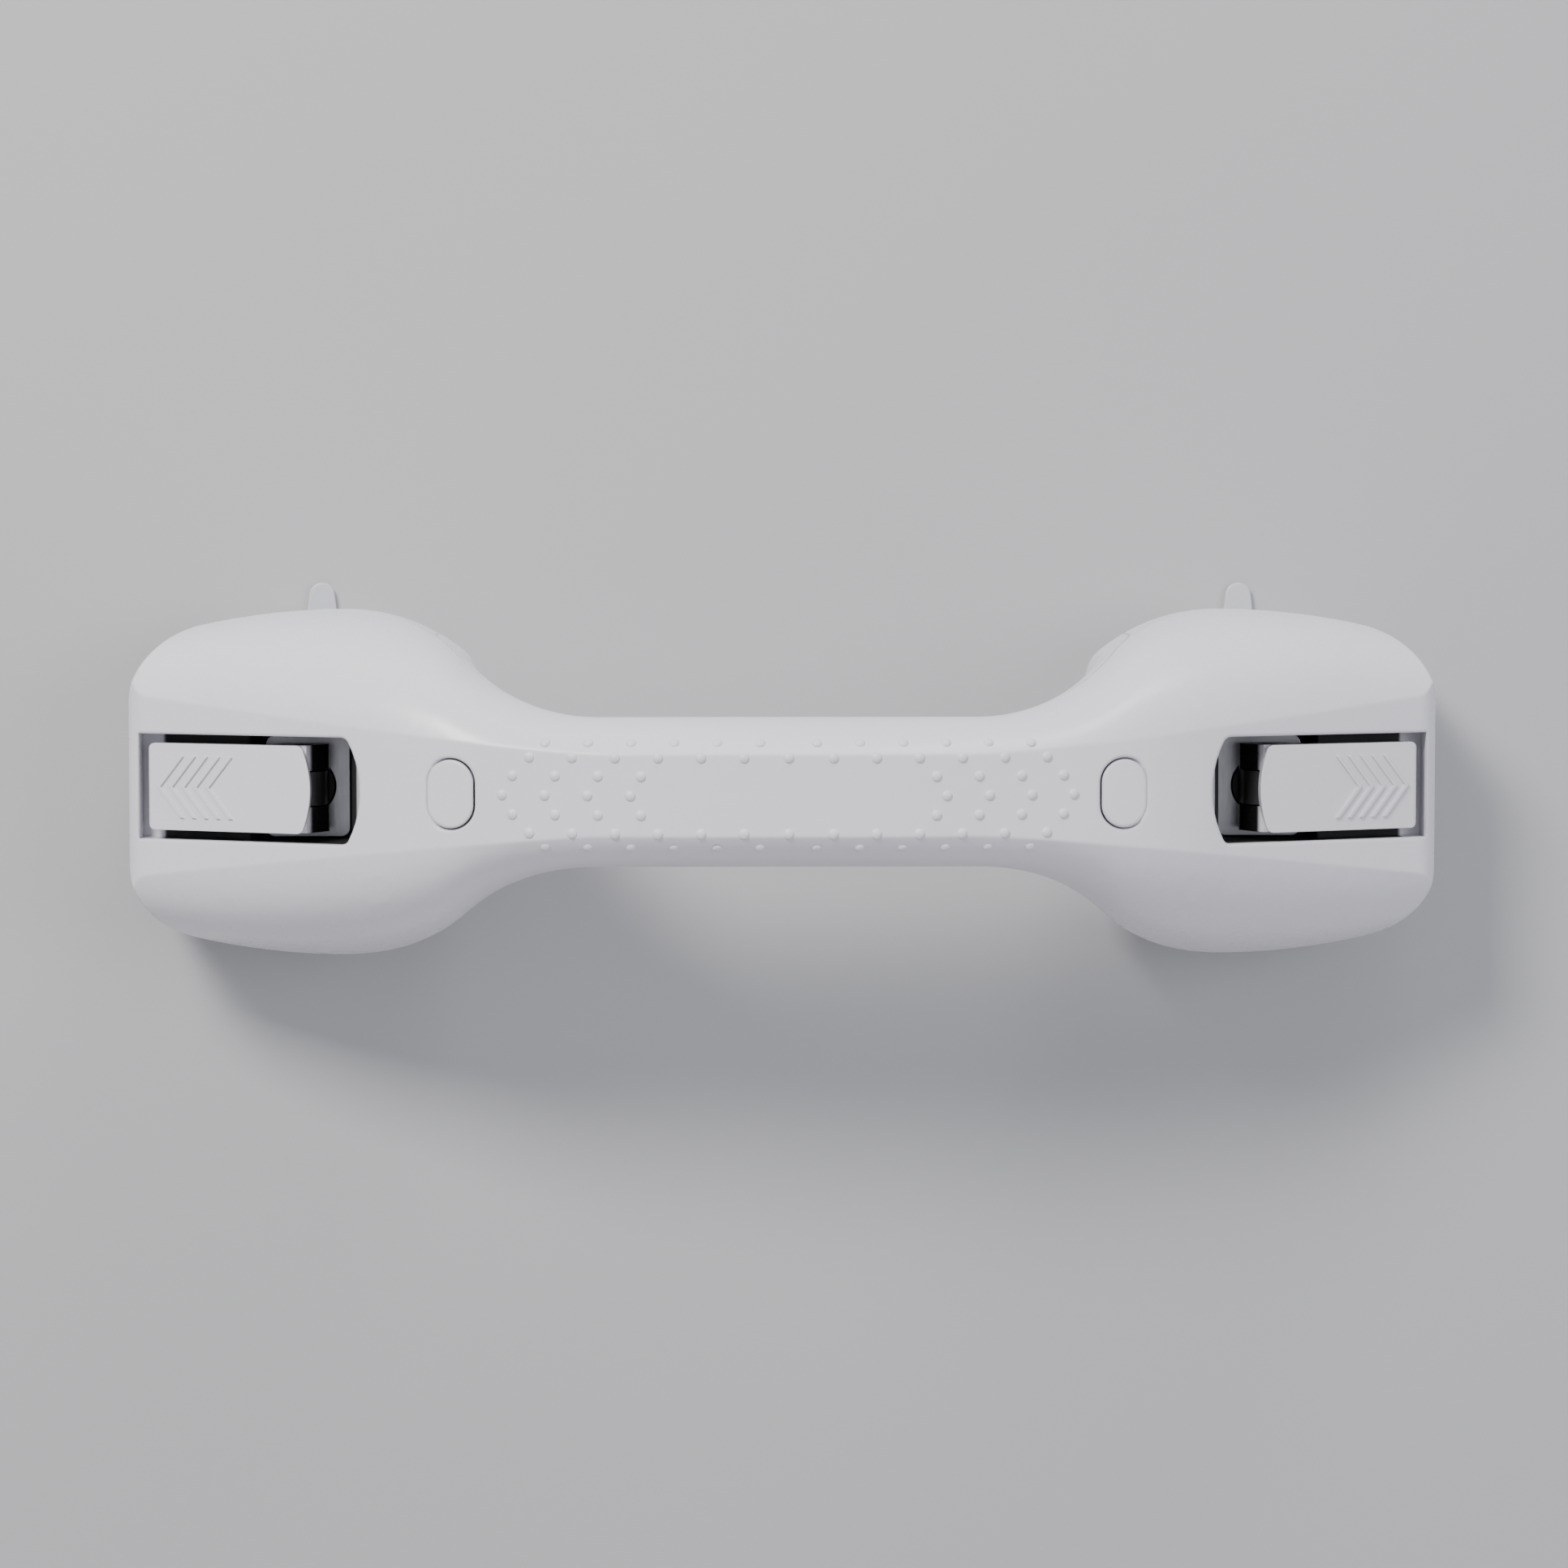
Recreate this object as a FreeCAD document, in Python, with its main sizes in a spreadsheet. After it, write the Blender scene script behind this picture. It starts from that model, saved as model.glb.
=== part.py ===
import FreeCAD, Part
import math
import os

import Sketcher
from FreeCAD import Placement, Rotation, Vector

# Suction grab bar: a bone-shaped plastic handle held to a smooth wall by two suction cups.
# Each cup is locked and released by a flip lever that lies flush in the front of its head.
# X runs along the bar, +Z is up, the wall is the plane Y = 0 and the front faces -Y.
# The origin is on the wall, midway between the cups. Sizes are in millimetres.
# Heights are measured from the wall towards the front, so height 50 is Y = -50.

SIZES = [
    ("overall_length", 300.0, "end to end"),
    ("projection", 86.0, "front of the grip from the wall"),
    ("head_width", 80.0, "widest part of each head, top to bottom"),
    ("cup_share", 0.51875, "centre of each cup from the end, in head widths"),
    ("widest_share", 0.605, "widest part of each head from the end, in head widths"),
    ("flare_share", 1.345, "start of the flare from the end, in head widths"),
    ("leg_share", 0.9875, "inner wall of each head from the end, in head widths"),
    ("tail_share", 1.875, "plan radius from the widest part to the end corners, in head widths"),
    ("end_corner", 20.0, "plan radius of the end corners"),
    ("end_round", 8.0, "radius from the front down to the end face"),
    ("grip_width", 33.0, "grip, top to bottom"),
    ("grip_depth", 31.0, "grip, front to back"),
    ("grip_flat", 15.0, "half of the straight middle of the front line"),
    ("lean", 27.0, "slope of the front of each head, degrees"),
    ("grip_band", 18.0, "width of the flat band along the front of the grip"),
    ("end_band", 42.0, "width of the flat band at the ends"),
    ("base_height", 14.0, "rear edge of the heads from the wall"),
    ("skirt_share", 0.4, "upright part of the sides of the heads, of the height of the end"),
    ("arch_share", 0.73, "radius of the arch behind the grip, of its height"),
    ("back_share", 0.22, "rounding along the back edges of the grip, of the height of the arch"),
    ("wall", 2.8, "thickness of the shells"),
    ("lap", 9.0, "height of the side walls of the rear shell"),
    ("seam", 0.15, "gap between the shells"),
    ("slot_inner", 13.7, "inner end of each slot from the cup's centre"),
    ("slot_outer", 3.0, "outer end of each slot from the end of the bar"),
    ("slot_width", 24.0, "width of each slot"),
    ("slot_arc", 24.0, "radius of the inner end of each slot"),
    ("pocket_inner", 11.2, "deep inner wall of the slot from the cup's centre"),
    ("pocket_reach", 10.3, "clear length of the deep pocket beyond the pivot"),
    ("channel_depth", 7.5, "depth of the shallow outer part of the slot"),
    ("floor_depth", 10.0, "pocket floor below the pivot, locked"),
    ("floor_wall", 3.0, "thickness of the pocket floor"),
    ("pivot_depth", 9.86, "pivot pin below the front of the head, locked"),
    ("pin_radius", 2.0, "pivot pin"),
    ("pin_length", 19.3, "pivot pin"),
    ("lever_inner", 2.1, "inner end of each lever from the cup's centre"),
    ("lever_outer", 5.3, "outer end of each lever from the end of the bar"),
    ("lever_width", 19.7, "lever, top to bottom"),
    ("lever_arc", 24.0, "radius of the inner end of each lever"),
    ("lever_plate", 4.2, "thickness of the lever's plate"),
    ("lever_recess", 0.4, "lever below the surface of the head"),
    ("open_angle", 100.0, "travel of each lever, degrees"),
    ("lift", 4.0, "travel of each plunger"),
    ("eye_width", 7.6, "thickness of the plunger's eye"),
    ("eye_radius", 4.7, "half of the width of the eye"),
    ("stem_radius", 6.0, "plunger stem"),
    ("flange_radius", 13.0, "flange moulded into the cup"),
    ("flange_height", 9.0, "wall side of the flange"),
    ("flange_top", 11.5, "front side of the flange"),
    ("cup_inset", 1.0, "edge of the suction cup inside the widest part of the head"),
    ("cup_seal", 7.5, "width of the flat sealing face"),
    ("cup_hollow", 6.5, "depth of the hollow behind the cup, locked"),
    ("cup_boss", 16.5, "radius of the cup's boss"),
    ("cup_boss_height", 13.0, "front of the cup's boss"),
    ("cup_rim_height", 4.2, "front of the cup's rim"),
    ("tab_reach", 7.0, "release tab beyond the edge of the cup"),
    ("tab_width", 6.0, "release tab"),
    ("tab_thickness", 1.2, "release tab"),
    ("tab_lift", 0.2, "release tab clear of the wall"),
    ("ring_inset", 1.4, "skirt that presses on the cup, inside the cup's edge"),
    ("ring_wall", 4.6, "skirt that presses on the cup"),
    ("base_plate", 3.0, "thickness of the base plate"),
    ("spring_radius", 8.0, "return spring, mean radius"),
    ("spring_wire", 0.7, "return spring, wire radius"),
    ("spring_pitch", 3.0, "return spring, about one turn"),
    ("wear_sheet", 1.0, "thickness of the wear plate"),
    ("wear_length", 19.0, "wear plate, along the bar"),
    ("plug_offset", 3.3, "centre of each plug from the inner wall of the head"),
    ("plug_length", 15.1, "plug, top to bottom"),
    ("plug_width", 10.3, "plug, along the bar"),
    ("plug_depth", 4.2, "thickness of the plug at its middle"),
    ("groove_width", 0.45, "groove round each plug"),
    ("groove_depth", 1.6, "groove round each plug"),
    ("grip_screw_offset", 11.0, "screws through the back of the grip, from the end of its flat"),
    ("screw_radius", 1.45, "all screws"),
    ("head_radius", 2.7, "all screw heads"),
    ("head_height", 2.2, "all screw heads"),
]

doc = FreeCAD.newDocument("suction_grab_bar")
sheet = doc.addObject("Spreadsheet::Sheet", "sizes")
for row, (alias, value, meaning) in enumerate(SIZES, 1):
    sheet.set(f"A{row}", meaning)
    sheet.set(f"B{row}", str(value))
    sheet.setAlias(f"B{row}", alias)
doc.recompute()


def size(alias):
    return float(sheet.get(alias))


def worked_out(expression):
    """The value of an expression in the sheet's sizes."""
    return float(sheet.evalExpression(expression))


# Places that follow from the sizes, as expressions for the sketches and as numbers.
HALF = "(sizes.overall_length / 2)"
CUP = f"({HALF} - sizes.cup_share * sizes.head_width)"
CUP_RADIUS = "(sizes.head_width / 2 - sizes.cup_inset)"
HEAD_FRONT = (
    f"(sizes.projection - ({CUP} - sizes.slot_inner - sizes.grip_flat) * tan(sizes.lean * 1 deg / 2)"
    " - sizes.slot_inner * tan(sizes.lean * 1 deg))"
)
PIVOT_HEIGHT = f"({HEAD_FRONT} - sizes.pivot_depth)"
FLOOR_HEIGHT = f"({PIVOT_HEIGHT} - sizes.floor_depth)"

half_length = worked_out(HALF)
cup_x = worked_out(CUP)
cup_radius = worked_out(CUP_RADIUS)
pivot_height = worked_out(PIVOT_HEIGHT)
floor_height = worked_out(FLOOR_HEIGHT)
widest_x = half_length - size("widest_share") * size("head_width")
flare_x = half_length - size("flare_share") * size("head_width")
leg_x = half_length - size("leg_share") * size("head_width")
tail_radius = size("tail_share") * size("head_width")
arch_height = size("projection") - size("grip_depth") - size("base_height")
leg_round = size("arch_share") * arch_height
back_round = size("back_share") * arch_height
slot_start = cup_x - size("slot_inner")
slot_end = half_length - size("slot_outer")
pocket_start = cup_x - size("pocket_inner")
lever_start = cup_x - size("lever_inner")
lever_end = half_length - size("lever_outer")
plug_x = leg_x + size("plug_offset")
grip_screw_x = leg_x - leg_round - size("grip_screw_offset")

# Small clearances, the same whatever the size of the bar.
RUNNING_GAP = 0.08
PRESS_GAP = 0.02
CLEARANCE = 0.25
FAR = 2 * size("projection") + size("overall_length")


# ---- drawing helpers ----

def plan(across, up):
    """A point as seen from the front."""
    return Vector(across, 0, up)


def profile(across, depth):
    """A point as seen from above."""
    return Vector(across, depth, 0)


def arc(view, centre, radius, start, end):
    """An arc between two angles in degrees, in either view."""
    points = []
    for angle in (start, (start + end) / 2, end):
        turn = math.radians(angle)
        points.append(view(centre[0] + radius * math.cos(turn), centre[1] + radius * math.sin(turn)))
    return Part.Arc(*points).toShape()


def polyline(view, corners):
    """Straight edges through the corners, left open."""
    points = [view(*corner) for corner in corners]
    return [Part.makeLine(a, b) for a, b in zip(points, points[1:])]


def joined(edges):
    """A closed wire through the edges in order, with a straight line across each gap."""
    whole = []
    for edge, following in zip(edges, edges[1:] + edges[:1]):
        whole.append(edge)
        end = edge.Vertexes[-1].Point
        start = following.Vertexes[0].Point
        if end.distanceToPoint(start) > 1e-6:
            whole.append(Part.makeLine(end, start))
    return Part.Wire(whole)


def mirrored(edges, normal):
    return [edge.mirror(Vector(0, 0, 0), normal) for edge in edges]


def slab(wire, depth):
    """A solid of the wire, half of its depth on each side of the view's plane."""
    normal = Part.Face(wire).normalAt(0, 0)
    face = Part.Face(wire)
    face.translate(normal * (-depth / 2))
    return face.extrude(normal * depth)


def polygon_slab(view, corners, depth):
    return slab(joined(polyline(view, corners)), depth)


def box(x_range, y_range, z_range):
    corner = Vector(x_range[0], y_range[0], z_range[0])
    sides = [b - a for a, b in (x_range, y_range, z_range)]
    return Part.makeBox(*sides, corner)


def rod(radius, x, z, from_height, to_height):
    """A round bar square to the wall, between two heights."""
    length = to_height - from_height
    return Part.makeCylinder(radius, length, Vector(x, -from_height, z), Vector(0, -1, 0))


# ---- the outer form of the bar ----

HEAD_HALF = size("head_width") / 2
GRIP_HALF = size("grip_width") / 2
LEAN = math.radians(size("lean"))
FLARE_RUN = widest_x - flare_x
FLARE_RISE = HEAD_HALF - GRIP_HALF
FLARE_RADIUS = (FLARE_RUN**2 + FLARE_RISE**2) / (4 * FLARE_RISE)
FLARE_TURN = math.degrees(math.asin(FLARE_RUN / 2 / FLARE_RADIUS))
BOW_RADIUS = (slot_start - size("grip_flat")) / math.sin(LEAN)


def front_line(x):
    """Y of the front of the bar: straight, then an arc, then the slope of the head."""
    along = abs(x) - size("grip_flat")
    if along <= 0:
        return -size("projection")
    if abs(x) <= slot_start:
        return -size("projection") + BOW_RADIUS - math.sqrt(BOW_RADIUS**2 - along**2)
    drop = BOW_RADIUS * (1 - math.cos(LEAN))
    return -size("projection") + drop + (abs(x) - slot_start) * math.tan(LEAN)


def half_width(x, inset):
    """Half of the bar's width at x, seen from the front."""
    x = abs(x)
    middle = (flare_x + widest_x) / 2
    if x <= flare_x:
        return GRIP_HALF - inset
    if x <= middle:
        radius = FLARE_RADIUS + inset
        return GRIP_HALF + FLARE_RADIUS - math.sqrt(radius**2 - (x - flare_x)**2)
    centre_radius = FLARE_RADIUS if x <= widest_x else tail_radius
    radius = centre_radius - inset
    return HEAD_HALF - centre_radius + math.sqrt(radius**2 - (x - widest_x)**2)


def outline(inset):
    """The bar seen from the front: tangent arcs, the same in all four quarters."""
    tail = tail_radius
    corner = size("end_corner")
    corner_x = half_length - corner
    reach = corner_x - widest_x
    corner_z = HEAD_HALF - tail + math.sqrt((tail - corner)**2 - reach**2)
    corner_angle = math.degrees(math.acos(reach / (tail - corner)))
    widest = widest_x
    quarter = [
        arc(plan, (flare_x, GRIP_HALF + FLARE_RADIUS), FLARE_RADIUS + inset,
            -90, -90 + FLARE_TURN),
        arc(plan, (widest, HEAD_HALF - FLARE_RADIUS), FLARE_RADIUS - inset, 90 + FLARE_TURN, 90),
        arc(plan, (widest, HEAD_HALF - tail), tail - inset, 90, corner_angle),
        arc(plan, (corner_x, corner_z), corner - inset, corner_angle, 0),
    ]
    right = quarter + [edge for edge in reversed(mirrored(quarter, Vector(0, 0, 1)))]
    edges = right + mirrored(right, Vector(1, 0, 0))
    straight = [
        Part.makeLine(plan(flare_x, s * (GRIP_HALF - inset)),
                      plan(-flare_x, s * (GRIP_HALF - inset)))
        for s in (1, -1)
    ]
    ends = [
        Part.makeLine(plan(s * (half_length - inset), corner_z),
                      plan(s * (half_length - inset), -corner_z))
        for s in (1, -1)
    ]
    return Part.Wire(Part.__sortEdges__(edges + straight + ends))


def side_profile(inset):
    """The bar seen from above: sloping front, end faces, base of the heads and the arched back."""
    lean = size("lean")
    end_round = size("end_round")
    start_x = slot_start
    run = half_length - end_round - start_x + end_round * math.sin(LEAN)
    corner_y = front_line(start_x) + run * math.tan(LEAN) + end_round * math.cos(LEAN)
    arch_centre = (leg_x - leg_round, -size("projection") + size("grip_depth") + leg_round)
    half = [
        arc(profile, (size("grip_flat"), BOW_RADIUS - size("projection")), BOW_RADIUS - inset,
            -90, -90 + lean),
        arc(profile, (half_length - end_round, corner_y), end_round - inset, -90 + lean, 0),
        Part.makeLine(profile(half_length - inset, -size("base_height")),
                      profile(leg_x + inset, -size("base_height"))),
        arc(profile, arch_centre, leg_round + inset, 0, -90),
    ]
    middle_front = profile(0, inset - size("projection"))
    middle_back = profile(0, size("grip_depth") - size("projection") - inset)
    half = [Part.makeLine(middle_front, half[0].Vertexes[0].Point)] + half
    half.append(Part.makeLine(half[-1].Vertexes[-1].Point, middle_back))
    whole = slab(joined(half), FAR)
    return whole.fuse(whole.mirror(Vector(0, 0, 0), Vector(1, 0, 0))).removeSplitter()


def smooth(value):
    value = min(max(value, 0.0), 1.0)
    return value * value * (3 - 2 * value)


def side_top(x):
    """Y where the domed front meets the upright sides."""
    grip_side = size("projection") - size("grip_depth") / 2
    base = size("base_height")
    skirt_height = base + size("skirt_share") * (-front_line(half_length) - base)
    sink = smooth((abs(x) - flare_x) / (widest_x - flare_x))
    return -grip_side + (grip_side - skirt_height) * sink


def crown(inset):
    """The domed front: an arched section at each station along the bar.

    Each arch passes through the edge of the flat band and through the top of the upright side,
    and carries on beyond both, so that the band and the sides cut it cleanly.
    """
    overhang = 1.03
    stations = 65
    points_across = 25
    grid = []
    for i in range(stations):
        x = (2 * i / (stations - 1) - 1) * (half_length + 1)
        flare = max(0, abs(x) - flare_x) / (half_length - flare_x)
        squareness = 2.7 + 0.6 * smooth(flare)
        band = (size("grip_band") + (size("end_band") - size("grip_band")) * flare**1.2) / 2
        width = half_width(x, inset)
        reach = overhang * width
        slope = min(max(abs(x) - size("grip_flat"), 0) / BOW_RADIUS, math.sin(LEAN))
        front = front_line(x) + inset / math.cos(math.asin(slope))
        at_band = (1 - ((band - 0.3 * inset) / reach)**squareness)**(1 / squareness)
        at_side = (1 - (width / reach)**squareness)**(1 / squareness)
        rise = (side_top(x) - front) / (at_band - at_side)
        foot = side_top(x) + rise * at_side
        arch = []
        for j in range(points_across):
            turn = math.pi * j / (points_across - 1)
            across = math.copysign(abs(math.cos(turn))**(2 / squareness), math.cos(turn))
            up = abs(math.sin(turn))**(2 / squareness)
            arch.append(Vector(x, foot - rise * up, reach * across))
        grid.append(arch)
    surface = Part.BSplineSurface()
    surface.interpolate(grid)
    return surface.toShape().extrude(Vector(0, FAR, 0))


def bar_form(inset):
    """The whole bar as one solid, its surface moved in by inset. The base of the heads stays."""
    form = crown(inset)
    form = form.common(slab(outline(inset), FAR))
    form = form.common(side_profile(inset))
    back = size("grip_depth") - size("projection") - inset
    edges = []
    for edge in form.Edges:
        bounds = edge.BoundBox
        inside_legs = max(abs(bounds.XMin), abs(bounds.XMax)) < leg_x + inset + 0.1
        on_back = bounds.YMin > back - 0.1
        lengthwise = bounds.XLength > 0.5 or bounds.YLength > 0.5
        if inside_legs and on_back and lengthwise and bounds.ZLength < HEAD_HALF:
            edges.append(edge)
    return form.makeFillet(back_round - inset, edges)


# ---- document objects ----

nodes = []


def keep(thing, name):
    """Give a finished sub-part its name; it is written out at the end."""
    thing.Label = name
    nodes.append(thing)
    return thing


def solid(name, shape):
    """A sub-part whose shape is set directly, in the bar's own frame."""
    thing = doc.addObject("Part::Feature", name)
    thing.Shape = shape
    return keep(thing, name)


def put_in_head(thing, side, turned=True):
    """Move a sub-part drawn about the right cup's axis to the head on the given side."""
    thing.setExpression(".Placement.Base.x", f"{side} * {CUP}")
    if turned and side < 0:
        thing.setExpression(".Placement.Rotation.Axis.y", "1")
        thing.setExpression(".Placement.Rotation.Angle", "180")
        thing.Placement = Placement(Vector(0, 0, 0), Rotation(Vector(0, 1, 0), 180))


def in_head(shape):
    """The same shape measured from the right cup's axis."""
    return Part.makeCompound([shape.translated(Vector(-cup_x, 0, 0))])


def new_body(name):
    return keep(doc.addObject("PartDesign::Body", name), name)


def new_sketch(body, name, plane, offset=""):
    sketch = body.newObject("Sketcher::SketchObject", name)
    origin_plane = [f for f in body.Origin.OriginFeatures if f.Role == plane][0]
    sketch.AttachmentSupport = [(origin_plane, "")]
    sketch.MapMode = "FlatFace"
    if offset:
        sketch.setExpression(".AttachmentOffset.Base.z", offset)
    return sketch


def draw_corners(sketch, corners):
    """A closed outline through corners given as pairs of expressions, each bound to the sheet."""
    places = [(worked_out(x), worked_out(y)) for x, y in corners]
    count = len(corners)
    for i in range(count):
        start = Vector(*places[i], 0)
        end = Vector(*places[(i + 1) % count], 0)
        sketch.addGeometry(Part.LineSegment(start, end), False)
    for i in range(count):
        sketch.addConstraint(Sketcher.Constraint("Coincident", i, 2, (i + 1) % count, 1))
    for i in range(count):
        for axis, kind, value, expression in (
            ("x", "DistanceX", places[i][0], corners[i][0]),
            ("y", "DistanceY", places[i][1], corners[i][1]),
        ):
            index = sketch.addConstraint(Sketcher.Constraint(kind, -1, 1, i, 1, value))
            sketch.renameConstraint(index, f"corner_{i}_{axis}")
            sketch.setExpression(f"Constraints.corner_{i}_{axis}", expression)


def draw_circle(sketch, x, y, radius):
    """A circle whose centre and radius are expressions bound to the sheet."""
    centre = Vector(worked_out(x), worked_out(y), 0)
    index = sketch.addGeometry(
        Part.Circle(centre, Vector(0, 0, 1), worked_out(radius)), False)
    for name, constraint, expression in (
        ("x", Sketcher.Constraint("DistanceX", -1, 1, index, 3, centre.x), x),
        ("y", Sketcher.Constraint("DistanceY", -1, 1, index, 3, centre.y), y),
        ("radius", Sketcher.Constraint("Radius", index, worked_out(radius)), radius),
    ):
        number = sketch.addConstraint(constraint)
        sketch.renameConstraint(number, f"circle_{index}_{name}")
        sketch.setExpression(f"Constraints.circle_{index}_{name}", expression)


def turned(body, name, corners, cut=False):
    """A solid, or a groove, turned about the Y axis from corners (radius, -height)."""
    sketch = new_sketch(body, name + "_section", "XY_Plane")
    draw_corners(sketch, corners)
    kind = "PartDesign::Groove" if cut else "PartDesign::Revolution"
    feature = body.newObject(kind, name)
    feature.Profile = sketch
    feature.ReferenceAxis = (sketch, ["V_Axis"])
    feature.Angle = 360
    doc.recompute()
    return feature


def padded(body, name, plane, length, draw, offset="", midplane=False):
    """A pad of whatever draw() puts in the sketch."""
    sketch = new_sketch(body, name + "_outline", plane, offset)
    draw(sketch)
    feature = body.newObject("PartDesign::Pad", name)
    feature.Profile = sketch
    feature.setExpression("Length", length)
    feature.Midplane = midplane
    doc.recompute()
    return feature


def pocketed(body, name, plane, draw):
    """A pocket right through the body, both ways from the plane."""
    sketch = new_sketch(body, name + "_outline", plane)
    draw(sketch)
    before = body.Shape.Volume
    feature = body.newObject("PartDesign::Pocket", name)
    feature.Profile = sketch
    feature.Type = "ThroughAll"
    feature.Midplane = True
    doc.recompute()
    assert body.Shape.Volume < before, f"{name} cuts nothing"
    return feature


def rounded(body, name, radius, chosen):
    """Round the edges of the body's last feature whose middle passes the test."""
    base = body.Tip
    names = []
    for i, edge in enumerate(base.Shape.Edges, 1):
        middle = edge.valueAt((edge.FirstParameter + edge.LastParameter) / 2)
        if chosen(edge, middle):
            names.append(f"Edge{i}")
    feature = body.newObject("PartDesign::Fillet", name)
    feature.Base = (base, names)
    feature.setExpression("Radius", radius)
    doc.recompute()
    return feature


# ---- shells ----

OUTER = bar_form(0)
CAVITY = bar_form(size("wall"))
SKIN = OUTER.cut(CAVITY)
GRIP_BACK = size("projection") - size("grip_depth")
SEAM_HEIGHT = GRIP_BACK + size("lap")
BOSS_RADIUS = 4.5
PILOT_RADIUS = size("screw_radius") + 0.05
CLEAR_RADIUS = size("screw_radius") + CLEARANCE
SINK_RADIUS = size("head_radius") + 0.3
PLUG_FLOOR = 2.5
SCREW_PLACES = [(x * 0.45 * cup_radius, z * 0.56 * cup_radius) for x in (-1, 1) for z in (-1, 1)]


def rear_region(lap):
    """Everything within lap of the back of the grip and the inner walls of the heads."""
    centre = (leg_x - leg_round, -GRIP_BACK + leg_round)
    corner = arc(profile, centre, leg_round + lap, -90, 0)
    edges = (
        polyline(profile, [(0, 5), (0, -GRIP_BACK - lap)])
        + [corner]
        + polyline(profile, [(leg_x + lap, 5), (0, 5)])
    )
    half = slab(joined(edges), FAR)
    return half.fuse(half.mirror(Vector(0, 0, 0), Vector(1, 0, 0))).removeSplitter()


def slot_outline(wider):
    """The slot seen from the front, its inner end bowed towards the middle of the bar."""
    half = size("slot_width") / 2 + wider
    radius = size("slot_arc") + wider
    centre_x = slot_start + size("slot_arc")
    turn = math.degrees(math.asin(half / radius))
    bow = arc(plan, (centre_x, 0), radius, 180 - turn, 180 + turn)
    outer = slot_end + wider
    prism = slab(joined([bow] + polyline(plan, [(outer, -half), (outer, half)])), FAR)
    corners = [
        edge for edge in prism.Edges
        if edge.BoundBox.YLength > 1 and edge.BoundBox.XMax < centre_x
    ]
    return prism.makeFillet(2 + wider, corners)


def slot_room(wider, deeper):
    """The slot seen from above: a bevel, the deep pocket round the pivot, the shallow channel."""
    bevel_foot = front_line(slot_start) + BEVEL_HEIGHT
    bevel_slope = (pocket_start - slot_start) / BEVEL_HEIGHT
    deep_end = cup_x + size("pocket_reach")
    channel = size("channel_depth") + deeper
    corners = [
        (pocket_start - (bevel_foot + FAR / 2) * bevel_slope - wider, -FAR / 2),
        (pocket_start - wider, bevel_foot),
        (pocket_start - wider, deeper - floor_height),
        (deep_end + wider, deeper - floor_height),
        (deep_end + 2.5 + wider, front_line(deep_end + 2.5) + channel),
        (slot_end + wider, front_line(slot_end) + channel),
        (slot_end + wider, -FAR / 2),
    ]
    return polygon_slab(profile, corners + corners[:1], FAR)


def obround(grow, from_height, to_height):
    """The plug's outline, right side, as a solid between two heights."""
    radius = size("plug_width") / 2 + grow
    reach = (size("plug_length") - size("plug_width")) / 2
    x = plug_x
    block = box((x - radius, x + radius), (-to_height, -from_height), (-reach, reach))
    for z in (-reach, reach):
        block = block.fuse(rod(radius, x, z, from_height, to_height))
    return block.removeSplitter()


def both_sides(shape):
    return [shape, shape.mirror(Vector(0, 0, 0), Vector(1, 0, 0))]


POCKET_WALL = 2.0
PLUG_WALL = 1.6
PLATE_BOSS_RADIUS = 3.4
PILOT_DEPTH = 13
COUNTERBORE = 3
BEVEL_HEIGHT = 10
front_adds = []
front_cuts = []
top = size("projection") + 5

pocket_block = slot_outline(POCKET_WALL).common(slot_room(POCKET_WALL, size("floor_wall")))
front_adds += both_sides(pocket_block)
front_cuts += both_sides(slot_outline(0).common(slot_room(0, 0)))
front_cuts += both_sides(rod(size("stem_radius") + RUNNING_GAP, cup_x, 0,
                             floor_height - 8, floor_height + 1))

plug_seat = -front_line(plug_x) - size("plug_depth")
plug_floor = plug_seat - size("head_height") - 0.3
front_adds += both_sides(obround(PLUG_WALL, plug_floor - PLUG_FLOOR, top))
front_cuts += both_sides(obround(0, plug_floor, top))
groove_floor = plug_seat + size("plug_depth") - size("groove_depth")
front_cuts += both_sides(obround(size("groove_width"), groove_floor, top))
front_cuts += both_sides(rod(CLEAR_RADIUS, plug_x, 0, plug_floor - 5, top))

for x, z in SCREW_PLACES:
    screw_x = cup_x + x
    plate_front = size("base_height") + size("base_plate") + CLEARANCE
    front_adds += both_sides(rod(PLATE_BOSS_RADIUS, screw_x, z, plate_front, top))
    front_cuts += both_sides(rod(PILOT_RADIUS, screw_x, z, plate_front - 1, plate_front + PILOT_DEPTH + 1))

front_adds += both_sides(rod(BOSS_RADIUS, grip_screw_x, 0, SEAM_HEIGHT, top))
front_cuts += both_sides(rod(PILOT_RADIUS, grip_screw_x, 0, SEAM_HEIGHT - 1, SEAM_HEIGHT + PILOT_DEPTH))

front_region_cut = rear_region(size("lap") + size("seam"))
front_shape = SKIN.cut(front_region_cut)
front_posts = Part.makeCompound(front_adds).common(OUTER)
front_shape = front_shape.fuse([s.cut(front_region_cut) for s in front_posts.Solids])
front_shape = front_shape.cut(front_cuts)
solid("front_shell", front_shape)

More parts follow.
